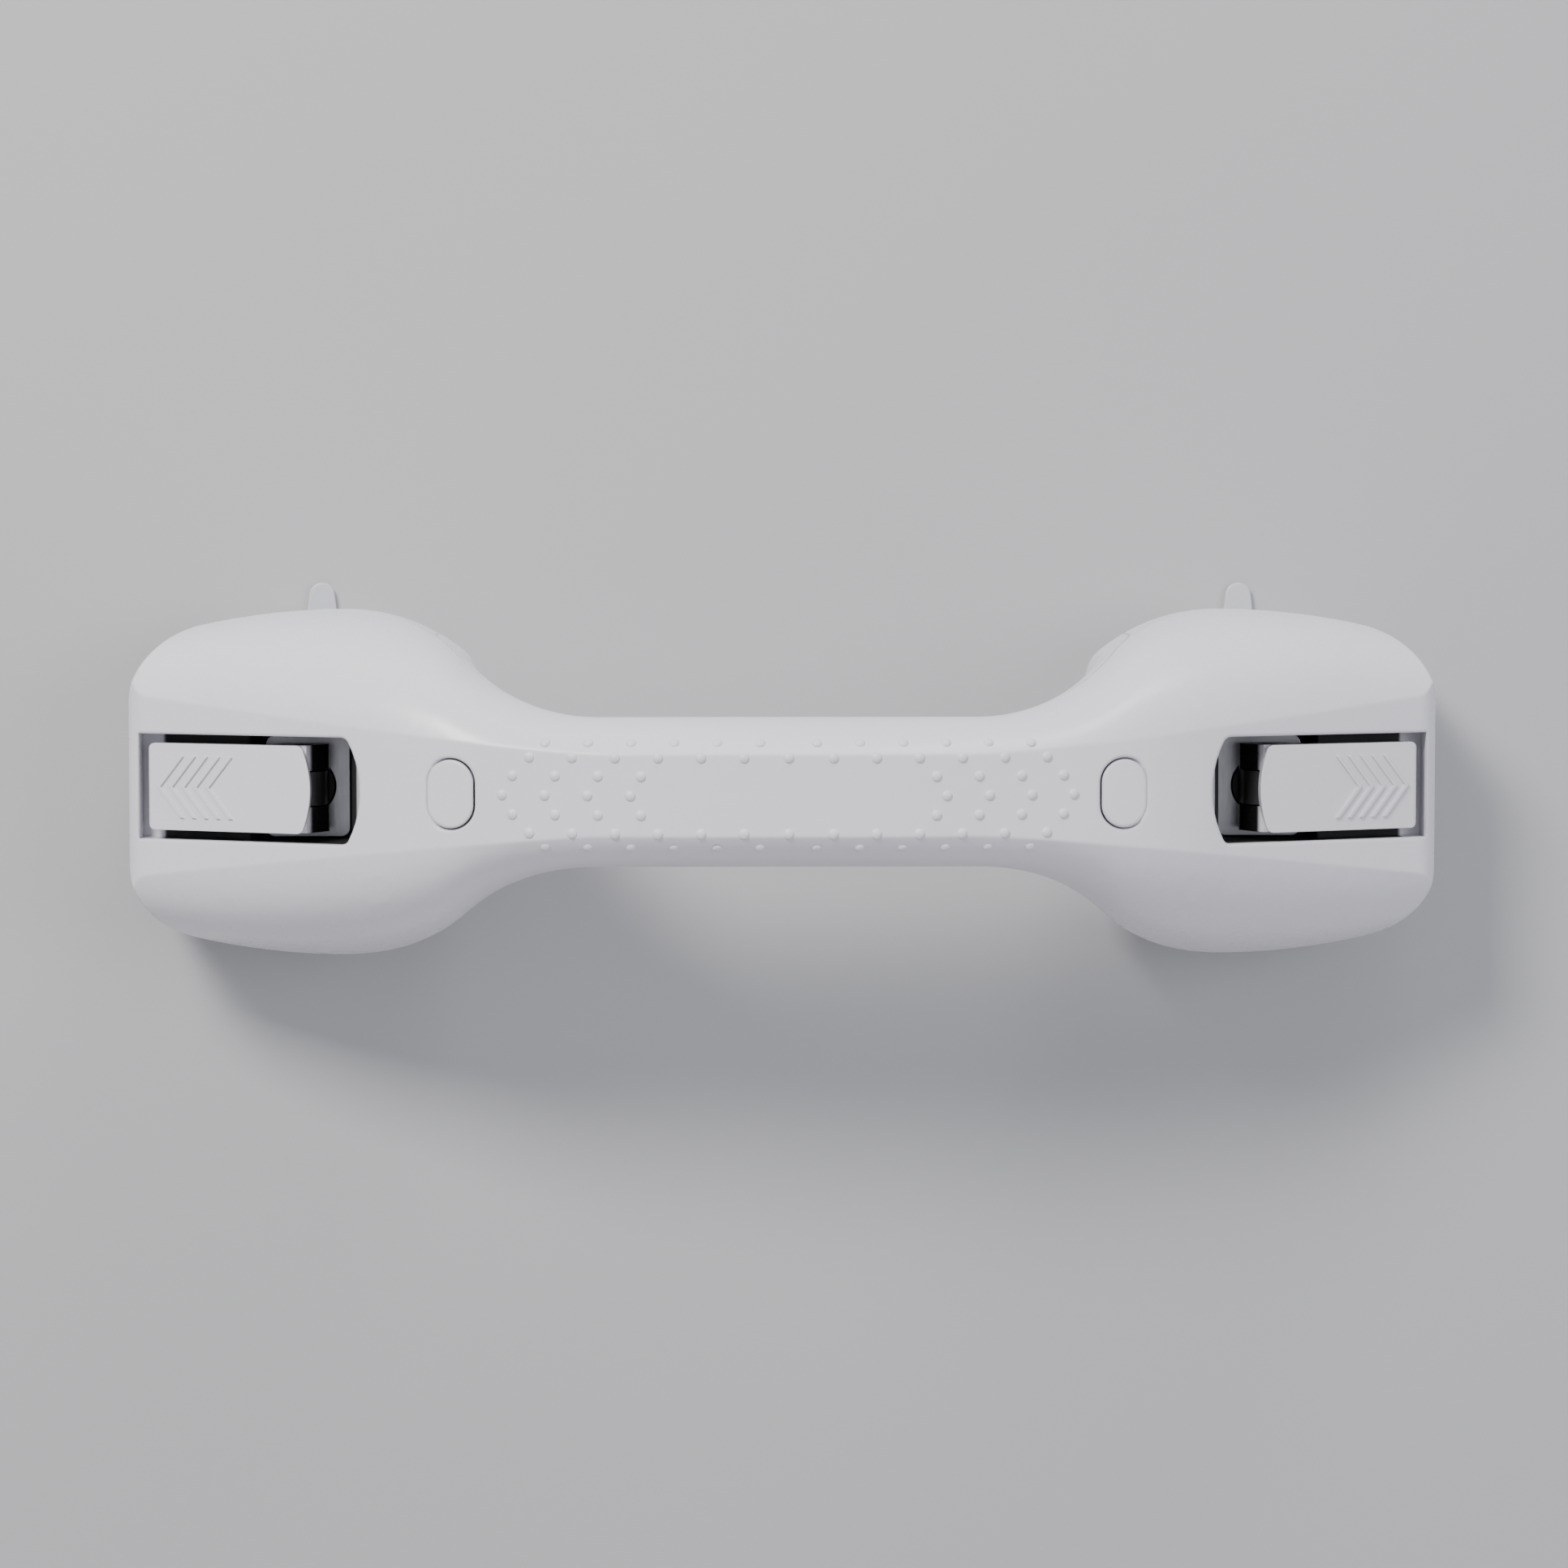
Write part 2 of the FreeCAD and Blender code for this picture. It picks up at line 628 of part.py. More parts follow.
rear_shape = SKIN.common(rear_region(size("lap")))
rear_adds = []
rear_cuts = []
plug_post_top = plug_floor - PLUG_FLOOR - size("seam")
plate_clear = size("base_height") + size("base_plate") + CLEARANCE
rear_adds += both_sides(rod(BOSS_RADIUS, plug_x, 0, plate_clear, plug_post_top))
rear_cuts += both_sides(rod(PILOT_RADIUS, plug_x, 0, plug_post_top - PILOT_DEPTH, plug_post_top + 1))
rear_adds += both_sides(rod(BOSS_RADIUS, grip_screw_x, 0, GRIP_BACK, SEAM_HEIGHT - size("seam")))
rear_cuts += both_sides(rod(CLEAR_RADIUS, grip_screw_x, 0, GRIP_BACK - 1, SEAM_HEIGHT + 1))
rear_cuts += both_sides(rod(SINK_RADIUS, grip_screw_x, 0, GRIP_BACK - 1, GRIP_BACK + COUNTERBORE))
rear_shape = rear_shape.fuse([post.common(OUTER) for post in rear_adds]).cut(rear_cuts)
solid("rear_shell", rear_shape)

# ---- plugs, flush with the front ----

def plug(side):
    shape = obround(-PRESS_GAP, plug_seat, size("projection") + 5).common(OUTER)
    return shape if side > 0 else shape.mirror(Vector(0, 0, 0), Vector(1, 0, 0))


for side, name in ((1, "right_plug"), (-1, "left_plug")):
    solid(name, plug(side))

# ---- levers ----

PIVOT = (cup_x, -pivot_height)
CAM_REACH = size("floor_depth") - size("wear_sheet") - 0.05
CHEEK_GAP = size("eye_width") / 2 + 0.3
CHEVRONS = 5
CHEVRON_PITCH = 2.9
CHEVRON_RIB = 0.9
CHEVRON_RISE = 0.45
CHEVRON_ARM = (5.5, 7.0)


def about_pivot(across, depth):
    return profile(PIVOT[0] + across, PIVOT[1] + depth)


def cam_curve():
    """The cam's edge. Its reach below the pivot falls evenly as the lever opens."""
    travel = math.radians(size("open_angle"))
    rate = size("lift") / travel
    points = []
    for i in range(13):
        turn = travel * i / 12
        reach = CAM_REACH - rate * turn
        points.append(about_pivot(
            -reach * math.sin(turn) + rate * math.cos(turn),
            reach * math.cos(turn) + rate * math.sin(turn),
        ))
    curve = Part.BSplineCurve()
    curve.interpolate(points)
    return curve.toShape()


def lever_top(x, lower):
    return front_line(x) + size("lever_recess") + lower


def lever_band(top, bottom, inner, outer):
    """A strip parallel to the front of the head, between two depths below the lever's top."""
    corners = [
        (inner, lever_top(inner, top)),
        (outer, lever_top(outer, top)),
        (outer, lever_top(outer, bottom)),
        (inner, lever_top(inner, bottom)),
    ]
    return polygon_slab(profile, corners + corners[:1], size("lever_width") + 1)


def lever_outline():
    """The lever seen from the front: a bowed inner end and a square outer end."""
    half = size("lever_width") / 2
    turn = math.degrees(math.asin(half / size("lever_arc")))
    bow = arc(plan, (lever_start + size("lever_arc"), 0), size("lever_arc"),
              180 - turn, 180 + turn)
    outer = lever_end
    prism = slab(joined([bow] + polyline(plan, [(outer, -half), (outer, half)])), FAR)
    corners = [edge for edge in prism.Edges if edge.BoundBox.YLength > 1]
    return prism.makeFillet(1.5, corners)


def chevron(tip_x):
    """One shallow rib on the lever, pointing outwards."""
    back, up = CHEVRON_ARM
    corners = [
        (tip_x, 0), (tip_x - back, up), (tip_x - back - CHEVRON_RIB, up),
        (tip_x - CHEVRON_RIB, 0), (tip_x - back - CHEVRON_RIB, -up), (tip_x - back, -up),
    ]
    rib = polygon_slab(plan, corners + corners[:1], FAR)
    return rib.common(lever_band(-CHEVRON_RISE, 1, pocket_start, lever_end))


def lever_shape():
    thickness = size("lever_plate") / math.cos(LEAN)
    inner = lever_start - 1
    plate = lever_band(0, thickness, inner, lever_end)
    tip_edges = [
        edge for edge in plate.Edges
        if edge.BoundBox.ZLength > 10 and edge.BoundBox.XMin > lever_end - 0.1
    ]
    plate = plate.makeFillet(1.3, tip_edges).common(lever_outline())
    cam = cam_curve()
    hub_corners = [
        (-1, -6.8),
        (12, lever_top(PIVOT[0] + 12, thickness - 0.6) - PIVOT[1]),
        (7, 3),
        (4.5, CAM_REACH),
    ]
    hub_points = [about_pivot(*corner) for corner in hub_corners]
    hub_edges = [Part.makeLine(a, b) for a, b in zip(hub_points, hub_points[1:])]
    hub = slab(joined([cam] + hub_edges), size("lever_width"))
    gap = box((PIVOT[0] - 12, PIVOT[0] + 6.2), (PIVOT[1] - 6.2, PIVOT[1] + 12),
              (-CHEEK_GAP, CHEEK_GAP))
    bore = Part.makeCylinder(size("pin_radius") + PRESS_GAP, 2 * HEAD_HALF,
                             Vector(PIVOT[0], PIVOT[1], -HEAD_HALF))
    first_tip = lever_end - 2
    ribs = [chevron(first_tip - i * CHEVRON_PITCH) for i in range(CHEVRONS)]
    return plate.fuse([hub] + ribs).cut([gap, bore])


LEVER = in_head(lever_shape())
for side, name in ((1, "right_lever"), (-1, "left_lever")):
    put_in_head(solid(name, LEVER), side)

# ---- pivot pins ----

for side, name in ((1, "right_pivot_pin"), (-1, "left_pivot_pin")):
    pin = doc.addObject("Part::Cylinder", name)
    pin.setExpression("Radius", "sizes.pin_radius")
    pin.setExpression("Height", "sizes.pin_length")
    pin.setExpression(".Placement.Base.x", f"{side} * {CUP}")
    pin.setExpression(".Placement.Base.y", f"-{PIVOT_HEIGHT}")
    pin.setExpression(".Placement.Base.z", "-sizes.pin_length / 2")
    keep(pin, name)

# ---- plungers: a stem with an eye, and a flange held in the cup ----

SEAT_GAP = 0.03
BORE_GAP = 0.06
EYE_FOOT = f"-{PIVOT_HEIGHT} + 9.6"

for side, name in ((1, "right_plunger"), (-1, "left_plunger")):
    plunger = new_body(name)
    turned(plunger, name + "_stem", [
        ("0", "-sizes.flange_height"),
        ("sizes.flange_radius", "-sizes.flange_height"),
        ("sizes.flange_radius", "-sizes.flange_top"),
        ("sizes.stem_radius", "-sizes.flange_top"),
        ("sizes.stem_radius", EYE_FOOT),
        ("0", EYE_FOOT),
    ])
    padded(plunger, name + "_eye", "XY_Plane", "sizes.eye_width", lambda sketch: draw_corners(
        sketch, [
            ("-sizes.eye_radius", EYE_FOOT + " + 2"),
            ("sizes.eye_radius", EYE_FOOT + " + 2"),
            ("sizes.eye_radius", f"-{PIVOT_HEIGHT} - sizes.eye_radius"),
            ("-sizes.eye_radius", f"-{PIVOT_HEIGHT} - sizes.eye_radius"),
        ]), midplane=True)
    eye_tip = -pivot_height - size("eye_radius")
    rounded(plunger, name + "_eye_round", "sizes.eye_radius - 0.02", lambda edge, middle: (
        abs(middle.y - eye_tip) < 0.01 and edge.BoundBox.ZLength > 1))
    pocketed(plunger, name + "_bore", "XY_Plane", lambda sketch: draw_circle(
        sketch, "0", f"-{PIVOT_HEIGHT}", f"sizes.pin_radius + {BORE_GAP}"))
    put_in_head(plunger, side)

# ---- suction cups ----

for side, name in ((1, "right_suction_cup"), (-1, "left_suction_cup")):
    cup = new_body(name)
    turned(cup, name + "_disc", [
        ("0", "-sizes.cup_hollow"),
        ("sizes.cup_boss - 2", "-sizes.cup_hollow"),
        (f"{CUP_RADIUS} - sizes.cup_seal - 6", "-0.45 * sizes.cup_hollow"),
        (f"{CUP_RADIUS} - sizes.cup_seal", "0"),
        (CUP_RADIUS, "0"),
        (CUP_RADIUS, "-sizes.cup_rim_height / 3"),
        (f"{CUP_RADIUS} - 0.8", "-sizes.cup_rim_height"),
        (f"{CUP_RADIUS} - sizes.ring_inset - sizes.ring_wall - 0.5", "-sizes.cup_rim_height"),
        ("sizes.cup_boss + 5", "-sizes.cup_hollow - 1.6"),
        ("sizes.cup_boss", "-sizes.cup_boss_height + 2"),
        ("sizes.cup_boss", "-sizes.cup_boss_height"),
        ("0", "-sizes.cup_boss_height"),
    ])
    padded(cup, name + "_tab", "XZ_Plane", "sizes.tab_thickness", lambda sketch: draw_corners(
        sketch, [
            ("-sizes.tab_width / 2", f"{CUP_RADIUS} - 2"),
            ("sizes.tab_width / 2", f"{CUP_RADIUS} - 2"),
            ("sizes.tab_width / 2", f"{CUP_RADIUS} + sizes.tab_reach"),
            ("-sizes.tab_width / 2", f"{CUP_RADIUS} + sizes.tab_reach"),
        ]), offset="sizes.tab_lift")
    tab_tip = cup_radius + size("tab_reach")
    rounded(cup, name + "_tab_round", "0.3 * sizes.tab_width", lambda edge, middle: (
        abs(middle.z - tab_tip) < 0.01 and edge.BoundBox.YLength > 0.9 * size("tab_thickness")))
    turned(cup, name + "_stem_seat", [
        ("0", f"-sizes.flange_height + {SEAT_GAP}"),
        (f"sizes.flange_radius + {SEAT_GAP}", f"-sizes.flange_height + {SEAT_GAP}"),
        (f"sizes.flange_radius + {SEAT_GAP}", f"-sizes.flange_top - {SEAT_GAP}"),
        (f"sizes.stem_radius + {SEAT_GAP}", f"-sizes.flange_top - {SEAT_GAP}"),
        (f"sizes.stem_radius + {SEAT_GAP}", "-sizes.cup_boss_height - 1"),
        ("0", "-sizes.cup_boss_height - 1"),
    ], cut=True)
    put_in_head(cup, side, turned=False)

# ---- base plates: they close the heads and press on the rims of the cups ----

plate_back = size("base_height")
plate_front = plate_back + size("base_plate")
reach = size("overall_length")
plate_slab = box((leg_x, reach), (-plate_front, -plate_back), (-reach, reach))
plate = bar_form(size("wall") + CLEARANCE).common(plate_slab)
ring_back = size("cup_rim_height") + 0.1
ring_outer = cup_radius - size("ring_inset")
ring_inner = ring_outer - size("ring_wall")
plate = plate.fuse(rod(ring_outer, cup_x, 0, ring_back, plate_back))
plate = plate.cut([
    rod(ring_inner, cup_x, 0, ring_back - 1, plate_back),
    rod(size("cup_boss") + 0.8, cup_x, 0, ring_back - 1, plate_front + 1),
] + [
    rod(CLEAR_RADIUS, cup_x + x, z, ring_back, plate_front + 1) for x, z in SCREW_PLACES
])
PLATE = in_head(plate)
for side, name in ((1, "right_base_plate"), (-1, "left_base_plate")):
    put_in_head(solid(name, PLATE), side)

# ---- steel wear plates under the cams ----

for side, name in ((1, "right_wear_plate"), (-1, "left_wear_plate")):
    wear = new_body(name)
    padded(wear, name + "_sheet", "XZ_Plane", "sizes.wear_sheet", lambda sketch: draw_corners(
        sketch, [
            ("-sizes.wear_length / 2", "-sizes.slot_width / 2 + 0.5"),
            ("sizes.wear_length / 2", "-sizes.slot_width / 2 + 0.5"),
            ("sizes.wear_length / 2", "sizes.slot_width / 2 - 0.5"),
            ("-sizes.wear_length / 2", "sizes.slot_width / 2 - 0.5"),
        ]), offset=FLOOR_HEIGHT)
    pocketed(wear, name + "_hole", "XZ_Plane", lambda sketch: draw_circle(
        sketch, "0", "0", "sizes.stem_radius + 0.4"))
    rounded(wear, name + "_corners", "2", lambda edge, middle: (
        abs(abs(middle.x) - size("wear_length") / 2) < 0.01
        and edge.BoundBox.YLength > 0.9 * size("wear_sheet")))
    put_in_head(wear, side)

# ---- return springs, round the stems ----

SPRING_ROOM = f"({FLOOR_HEIGHT} - sizes.floor_wall - sizes.cup_boss_height - 0.1)"
SPRING_RISE = f"(floor(({SPRING_ROOM} - 2 * sizes.spring_wire) * 10) / 10)"
half_turns = round(2 * worked_out(SPRING_RISE) / size("spring_pitch"))

for side, name in ((1, "right_return_spring"), (-1, "left_return_spring")):
    helix = doc.addObject("Part::Helix", name + "_path")
    helix.setExpression("Radius", "sizes.spring_radius")
    helix.setExpression("Height", SPRING_RISE)
    helix.setExpression("Pitch", f"2 * {SPRING_RISE} / {half_turns}")
    wire = doc.addObject("Part::Circle", name + "_wire")
    wire.setExpression("Radius", "sizes.spring_wire")
    wire.setExpression(".Placement.Base.x", "sizes.spring_radius")
    wire.Placement = Placement(Vector(0, 0, 0), Rotation(Vector(1, 0, 0), 90))
    spring = doc.addObject("Part::Sweep", name)
    spring.Sections = [wire]
    spring.Spine = (helix, [])
    spring.Solid = True
    spring.Frenet = True
    spring.Placement = Placement(Vector(0, 0, 0), Rotation(Vector(1, 0, 0), 90))
    spring.setExpression(".Placement.Base.x", f"{side} * {CUP}")
    spring.setExpression(".Placement.Base.y", "-sizes.cup_boss_height - 0.05 - sizes.spring_wire")
    keep(spring, name)

# ---- screws ----

SCREW_HEAD_ROUND = 0.7
CROSS_HALF = (1.5, 1.2, 0.35)


def screw(x, z, tip, head_seat, outward):
    """A pan-head screw square to the wall. outward is 1 if its head faces the front."""
    low, high = sorted((tip, head_seat))
    shape = rod(size("screw_radius"), x, z, low, high)
    rise = head_seat + outward * size("head_height")
    low, high = sorted((head_seat, rise))
    head = rod(size("head_radius"), x, z, low, high)
    rim = [edge for edge in head.Edges
           if abs(edge.BoundBox.YMin + rise) < 0.01 and edge.BoundBox.YLength < 0.01]
    head = head.makeFillet(SCREW_HEAD_ROUND, rim)
    shape = shape.fuse(head)
    for angle in (0, 90):
        slot = box(*((-half, half) for half in CROSS_HALF))
        slot.rotate(Vector(0, 0, 0), Vector(0, 1, 0), angle)
        shape = shape.cut(slot.translated(Vector(x, -rise, z)))
    return shape


def screw_set(name, shapes):
    solid(name, Part.makeCompound(shapes))


screw_set("plug_screws", [
    screw(s * plug_x, 0, plug_post_top - PILOT_DEPTH + 1, plug_floor, 1) for s in (1, -1)
])
screw_set("grip_screws", [
    screw(s * grip_screw_x, 0, SEAM_HEIGHT + PILOT_DEPTH - 1, GRIP_BACK + COUNTERBORE, -1) for s in (1, -1)
])
screw_set("base_plate_screws", [
    screw(s * cup_x + x, z, plate_clear + PILOT_DEPTH, plate_back, -1)
    for s in (1, -1) for x, z in SCREW_PLACES
])

# ---- check and write ----

doc.recompute()
for thing in doc.Objects:
    assert not {"Invalid", "Error"} & set(thing.State), f"{thing.Name}: {thing.State}"
os.makedirs("parts", exist_ok=True)
for thing in nodes:
    assert not thing.Shape.isNull() and thing.Shape.isValid(), thing.Label
    thing.Shape.exportStep(f"parts/{thing.Label}.step")
    print(thing.Label, len(thing.Shape.Solids), round(thing.Shape.Volume, 1))
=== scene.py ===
import math

import bmesh
import bpy
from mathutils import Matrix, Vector


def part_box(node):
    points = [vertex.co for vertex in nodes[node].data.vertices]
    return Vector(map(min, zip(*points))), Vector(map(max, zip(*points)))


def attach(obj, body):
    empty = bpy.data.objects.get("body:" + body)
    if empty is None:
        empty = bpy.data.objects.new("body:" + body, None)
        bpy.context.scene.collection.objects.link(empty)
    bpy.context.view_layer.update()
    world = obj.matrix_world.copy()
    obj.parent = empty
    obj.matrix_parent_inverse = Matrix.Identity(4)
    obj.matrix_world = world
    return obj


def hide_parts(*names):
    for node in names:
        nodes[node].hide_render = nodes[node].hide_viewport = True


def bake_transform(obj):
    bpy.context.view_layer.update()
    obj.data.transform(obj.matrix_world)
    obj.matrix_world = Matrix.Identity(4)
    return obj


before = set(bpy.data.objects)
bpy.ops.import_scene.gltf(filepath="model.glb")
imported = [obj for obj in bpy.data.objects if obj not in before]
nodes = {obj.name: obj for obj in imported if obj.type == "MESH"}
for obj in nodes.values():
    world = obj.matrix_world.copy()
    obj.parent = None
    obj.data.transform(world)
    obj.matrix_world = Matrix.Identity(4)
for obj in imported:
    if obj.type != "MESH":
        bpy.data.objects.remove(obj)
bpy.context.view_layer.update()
MM = 0.001
SIDES = {"right": 1, "left": -1}

# ---- Suction cups -------------------------------------------------------------------------
# Each cup is one soft, milky elastomer moulding round the flange of its plunger: a thick boss, a thin
# dished wall, a flat ring that seals on the wall and a small tab at the top that is pulled to let the air
# in. On the real cup the rim stays put while the boss moves with the plunger; here the cup is one fixed
# mesh.


class Socket:
    """A shader socket that can be used in sums like a number."""

    def __init__(self, material, output):
        self.material = material
        self.output = output

    def _worked(self, operation, first, second):
        return self.material.node("ShaderNodeMath", {"operation": operation}, {0: first, 1: second})

    def __add__(self, other):
        return self._worked("ADD", self, other)

    def __sub__(self, other):
        return self._worked("SUBTRACT", self, other)

    def __mul__(self, other):
        return self._worked("MULTIPLY", self, other)

    def __rsub__(self, other):
        return self._worked("SUBTRACT", other, self)

    __radd__ = __add__
    __rmul__ = __mul__

    def size(self):
        """The value without its sign."""
        return self.material.node("ShaderNodeMath", {"operation": "ABSOLUTE"}, {0: self})

    def above(self, edge, softness):
        """0 below the edge, 1 above it, with a soft step between."""
        return self.material.node("ShaderNodeMapRange", {"interpolation_type": "SMOOTHSTEP"}, {
            "Value": self, "From Min": edge - softness, "From Max": edge + softness,
        })


EDGE_SAMPLES = 6


class Finish:
    """A procedural material on object coordinates, in metres."""

    def __init__(self, name, constants):
        self.material = bpy.data.materials.new(name)
        self.material.use_nodes = True
        self.tree = self.material.node_tree
        self.shader = self.tree.nodes["Principled BSDF"]
        for label, value in constants.items():
            self.shader.inputs[label].default_value = value
        self.place = self.node("ShaderNodeTexCoord", output="Object")

    def feed(self, socket, value):
        """Links a socket to another one's value, or sets it to a number, a colour or a vector."""
        if isinstance(value, Socket):
            self.tree.links.new(value.output, socket)
        elif isinstance(value, tuple) and len(value) == 3 and len(socket.default_value) == 4:
            socket.default_value = (*value, 1)
        else:
            socket.default_value = value

    def node(self, kind, settings=(), inputs=(), output=0):
        made = self.tree.nodes.new(kind)
        for label, value in dict(settings).items():
            setattr(made, label, value)
        for key, value in dict(inputs).items():
            self.feed(made.inputs[key], value)
        return Socket(self, made.outputs[output])

    def noise(self, size, detail=2.0, stretch=(1, 1, 1)):
        """Noise from 0 to 1 whose blobs are about size metres across."""
        scaled = self.node("ShaderNodeVectorMath", {"operation": "MULTIPLY"}, {
            0: self.place, 1: tuple(1 / (size * s) for s in stretch),
        })
        return self.node("ShaderNodeTexNoise", {}, {"Vector": scaled, "Scale": 1.0, "Detail": detail})

    def axis(self, name):
        return self.node("ShaderNodeSeparateXYZ", {}, {0: self.place}, output=name)

    def mix(self, mask, first, second):
        """A colour that goes from first to second with the mask."""
        return self.node("ShaderNodeMix", {"data_type": "RGBA"}, {0: mask, 6: first, 7: second}, output=2)

    def colour(self, value):
        self.feed(self.shader.inputs["Base Color"], value)

    def roughness(self, value):
        self.feed(self.shader.inputs["Roughness"], value)

    def hide_where(self, mask):
        """Lets light straight through where the mask is 1."""
        solid = Socket(self, self.shader.outputs["BSDF"])
        clear = self.node("ShaderNodeBsdfTransparent")
        surface = self.node("ShaderNodeMixShader", {}, {0: mask, 1: solid, 2: clear})
        self.feed(self.tree.nodes["Material Output"].inputs["Surface"], surface)

    def bump(self, height, depth, edge_radius=0.2 * MM):
        """Raises the surface by depth metres where height is 1, and rounds the edges a little."""
        edges = self.node("ShaderNodeBevel", {"samples": EDGE_SAMPLES}, {"Radius": edge_radius})
        self.feed(self.shader.inputs["Normal"], self.node("ShaderNodeBump", {}, {
            "Height": height, "Distance": depth, "Strength": 1.0, "Normal": edges,
        }))


def put(name, mesh, finish, smooth_angle=math.radians(40)):
    """A finished piece from a mesh, with its material and its smooth shading."""
    piece = bpy.data.objects.new(name, mesh)
    bpy.context.scene.collection.objects.link(piece)
    mesh.materials.clear()
    mesh.materials.append(finish.material)
    mesh.shade_smooth()
    mesh.set_sharp_from_angle(angle=smooth_angle)
    return piece


def paint(node, finish):
    """Gives a CAD node its material."""
    nodes[node].data.materials.clear()
    nodes[node].data.materials.append(finish.material)


SAME_PLACE = 0.001 * MM


def lathe(name, section, centre, steps):
    """Mesh turned about the Y axis through centre from a closed section of (radius, y)."""
    shape = bmesh.new()
    rings = []
    for step in range(steps):
        turn = 2 * math.pi * step / steps
        rings.append([
            shape.verts.new(centre + Vector((r * math.cos(turn), y, r * math.sin(turn))))
            for r, y in section
        ])
    for step, ring in enumerate(rings):
        following = rings[(step + 1) % steps]
        for i in range(len(section)):
            j = (i + 1) % len(section)
            shape.faces.new((ring[i], ring[j], following[j], following[i]))
    bmesh.ops.remove_doubles(shape, verts=shape.verts, dist=SAME_PLACE)
    bmesh.ops.dissolve_degenerate(shape, edges=shape.edges, dist=SAME_PLACE / 10)
    bmesh.ops.recalc_face_normals(shape, faces=shape.faces)
    mesh = bpy.data.meshes.new(name)
    shape.to_mesh(mesh)
    shape.free()
    return mesh


def curve_through(points, steps):
    """Points along a smooth curve through the given ones (Catmull-Rom), ends included."""
    path = []
    for i in range(len(points) - 1):
        before = points[max(i - 1, 0)]
        start, end = points[i], points[i + 1]
        after = points[min(i + 2, len(points) - 1)]
        for step in range(steps):
            t = step / steps
            path.append(tuple(
                0.5 * (2 * b + (c - a) * t + (2 * a - 5 * b + 4 * c - d) * t**2
                       + (3 * b - a - 3 * c + d) * t**3)
                for a, b, c, d in zip(before, start, end, after)
            ))
    return path + [points[-1]]


def flat_tab(name, outline, back, front):
    """Mesh of an (x, z) outline given a thickness from y = back to y = front."""
    shape = bmesh.new()
    faces = [shape.faces.new([shape.verts.new((x, y, z)) for x, z in outline]) for y in (back, front)]
    back_corners, front_corners = (list(face.verts) for face in faces)
    for i in range(len(outline)):
        j = (i + 1) % len(outline)
        shape.faces.new((back_corners[i], back_corners[j], front_corners[j], front_corners[i]))
    bmesh.ops.recalc_face_normals(shape, faces=shape.faces)
    mesh = bpy.data.meshes.new(name)
    shape.to_mesh(mesh)
    shape.free()
    return mesh


CLEAR_WHITE = (0.74, 0.75, 0.78)
CLEAR_GREY = (0.68, 0.70, 0.74)

milky = Finish("milky_elastomer", {
    "Transmission Weight": 0.25, "IOR": 1.48, "Subsurface Weight": 0.35, "Subsurface Scale": 4 * MM,
})
milky.colour(milky.mix(milky.noise(20 * MM), CLEAR_WHITE, CLEAR_GREY))
milky.roughness(0.26 + 0.14 * milky.noise(4 * MM))
milky.bump(milky.noise(0.9 * MM), 0.02 * MM)

CUP_STEPS = 144
CURVE_STEPS = 4
# The cup's outlines, each point a distance from the cup's axis and its Y, in millimetres.
# The front runs from the rim over the dished wall up to the boss.
CUP_FRONT = [
    (39.0, -0.2), (38.9, -1.6), (38.1, -3.9), (37.0, -4.15), (33.0, -4.15), (28.0, -5.6), (22.0, -8.0),
    (18.0, -10.0), (16.6, -11.8), (15.8, -12.95),
]
# The seat grips the flange of the plunger.
CUP_SEAT = [(6.05, -12.95), (6.05, -11.55), (13.05, -11.55), (13.05, -8.95), (0.0, -8.95)]
# The hollow under the cup, from the middle out to the sealing ring.
CUP_HOLLOW = [
    (0.0, -6.5), (10.0, -6.4), (17.0, -5.6), (24.0, -3.6), (29.0, -1.5), (31.5, -0.15), (32.3, -0.02),
]
SEAL_DEPTH = -0.02
SEAL_EDGE = 38.7
GROOVE_COUNT = 3
GROOVE_START = 33.4
GROOVE_PITCH = 1.7
GROOVE_WIDTH = 0.7
GROOVE_FLOOR = -0.3

TAB_HALF = 3 * MM
TAB_TOP = 46 * MM
TAB_BACK = -0.25 * MM
TAB_FRONT = -1.45 * MM
TAB_ROOT = [(4.4 * MM, 36.0 * MM), (3.5 * MM, 38.8 * MM)]
TAB_STEPS = 12
TAB_EDGE = 0.35 * MM
TAB_EDGE_STEPS = 3

seal = []
for i in range(GROOVE_COUNT):
    groove = GROOVE_START + GROOVE_PITCH * i
    seal += [
        (groove, SEAL_DEPTH),
        (groove + GROOVE_WIDTH / 2, GROOVE_FLOOR),
        (groove + GROOVE_WIDTH, SEAL_DEPTH),
    ]
seal.append((SEAL_EDGE, SEAL_DEPTH))
front = curve_through(CUP_FRONT, CURVE_STEPS)
hollow = curve_through(CUP_HOLLOW, CURVE_STEPS)
cup_section = [(radius * MM, y * MM) for radius, y in front + CUP_SEAT + hollow + seal]

tab_end = TAB_TOP - TAB_HALF
tab_outline = list(TAB_ROOT)
for i in range(TAB_STEPS + 1):
    bend = math.pi * i / TAB_STEPS
    tab_outline.append((TAB_HALF * math.cos(bend), tab_end + TAB_HALF * math.sin(bend)))
tab_outline += [(-x, z) for x, z in reversed(TAB_ROOT)]

for side in SIDES:
    low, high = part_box(f"{side}_plunger")
    centre = Vector(((low.x + high.x) / 2, 0, 0))
    cup = put(f"{side}_cup", lathe(f"{side}_cup", cup_section, centre, CUP_STEPS), milky)
    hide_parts(f"{side}_suction_cup")
    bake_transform(cup)

    outline = [(centre.x + x, z) for x, z in tab_outline]
    tab = put(f"{side}_release_tab", flat_tab(f"{side}_tab", outline, TAB_BACK, TAB_FRONT), milky)
    soft_edge = tab.modifiers.new("soft_edge", "BEVEL")
    soft_edge.width = TAB_EDGE
    soft_edge.segments = TAB_EDGE_STEPS
    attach(tab, "housing")

